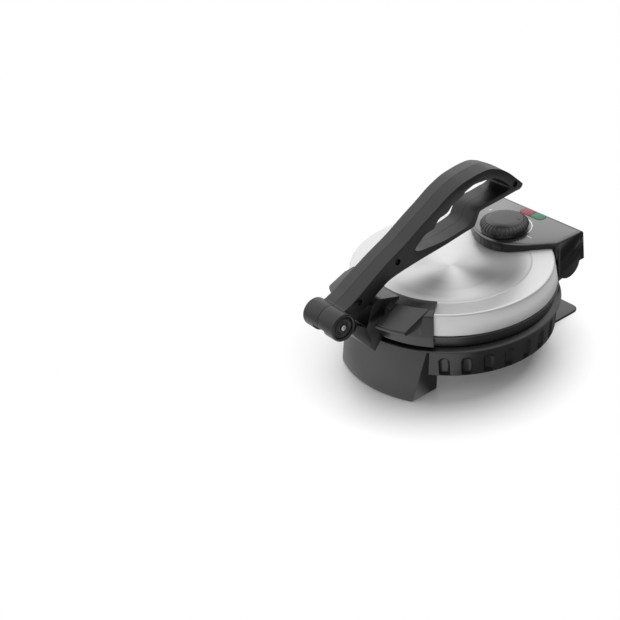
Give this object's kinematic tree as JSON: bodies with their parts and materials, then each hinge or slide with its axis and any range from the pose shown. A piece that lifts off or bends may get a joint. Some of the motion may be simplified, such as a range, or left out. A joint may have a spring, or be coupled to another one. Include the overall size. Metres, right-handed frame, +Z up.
{
  "type": "electric roti maker",
  "caption": "Round electric flatbread press: fluted base with hotplate, hinged steel lid with dial and lamps, and a swinging press handle at the front.",
  "frame": {"origin": "on the floor, under the middle of the object's box", "axes": "+Z up, +Y from the handle's barrel in front to the control housing at the back, x = 0 the plane of symmetry"},
  "size_m": [0.2384, 0.3286, 0.2046],
  "materials": {
    "housing_plastic": "satin black moulded plastic",
    "handle_plastic": "satin black moulded plastic",
    "gloss_black": "polished black moulded plastic",
    "lid_stainless": "softly polished stainless sheet",
    "inner_steel": "plain pressed sheet",
    "element_steel": "drawn tube",
    "screw_steel": "bright plated",
    "nonstick_plate": "non-stick coated casting",
    "foot_rubber": "matt",
    "ceramic": "unglazed ceramic",
    "nylon": "natural nylon",
    "red_lens": "tinted clear plastic",
    "green_lens": "tinted clear plastic",
    "lamp_glass": "clear"
  },
  "bodies": {
    "base": {"base_housing": "housing_plastic", "rear_foot": "housing_plastic", "bottom_cover": "inner_steel", "rubber_foot_front_left": "foot_rubber", "rubber_foot_front_right": "foot_rubber", "rubber_foot_rear_left": "foot_rubber", "rubber_foot_rear_right": "foot_rubber", "cord_gland": "foot_rubber", "cover_screw_1": "screw_steel", "cover_screw_2": "screw_steel", "cover_screw_3": "screw_steel", "cover_screw_4": "screw_steel", "foot_screw_left": "screw_steel", "foot_screw_right": "screw_steel", "hinge_pin_left": "screw_steel", "hinge_pin_right": "screw_steel", "hinge_bush_left": "nylon", "hinge_bush_right": "nylon", "lower_hotplate": "nonstick_plate", "lower_hotplate_screw_1": "screw_steel", "lower_hotplate_screw_2": "screw_steel", "lower_hotplate_screw_3": "screw_steel", "lower_reflector": "inner_steel", "lower_element": "element_steel", "terminal_block": "ceramic", "thermal_fuse": "ceramic"},
    "lid": {"lid_shell": "lid_stainless", "lid_ring": "housing_plastic", "upper_hotplate": "nonstick_plate", "upper_hotplate_screw_1": "screw_steel", "upper_hotplate_screw_2": "screw_steel", "upper_hotplate_screw_3": "screw_steel", "upper_reflector": "inner_steel", "upper_element": "element_steel", "thermostat_body": "ceramic", "control_housing": "gloss_black", "control_panel": "gloss_black", "rear_cover": "housing_plastic", "rear_cover_screw_left": "screw_steel", "rear_cover_screw_right": "screw_steel", "housing_screw_left": "screw_steel", "housing_screw_right": "screw_steel", "arm_screw_left": "screw_steel", "arm_screw_right": "screw_steel", "indicator_lens_red": "red_lens", "indicator_lens_green": "green_lens", "lamp_red": "lamp_glass", "lamp_green": "lamp_glass", "front_bracket": "housing_plastic"},
    "handle": {"handle_half_left": "handle_plastic", "handle_half_right": "handle_plastic", "handle_screw_1": "screw_steel", "handle_screw_2": "screw_steel", "handle_screw_3": "screw_steel", "barrel_cap_left": "handle_plastic", "barrel_cap_right": "handle_plastic", "pivot_pin": "screw_steel"},
    "knob": {"knob_body": "gloss_black", "knob_skirt": "gloss_black", "thermostat_shaft": "screw_steel"}
  },
  "joints": [
    {"name": "lid_hinge", "type": "hinge", "parent": "base", "child": "lid", "pos_m": [0, 0.1393, 0.075], "axis": [-1, 0, 0], "range_deg": [0, 95]},
    {"name": "handle_hinge", "type": "hinge", "parent": "lid", "child": "handle", "pos_m": [0, -0.1488, 0.1049], "axis": [1, 0, 0], "range_deg": [0, 105]},
    {"name": "knob_turn", "type": "hinge", "parent": "lid", "child": "knob", "pos_m": [0, 0.1052, 0.1098], "axis": [0, 0, -1], "range_deg": [0, 270]}
  ]
}
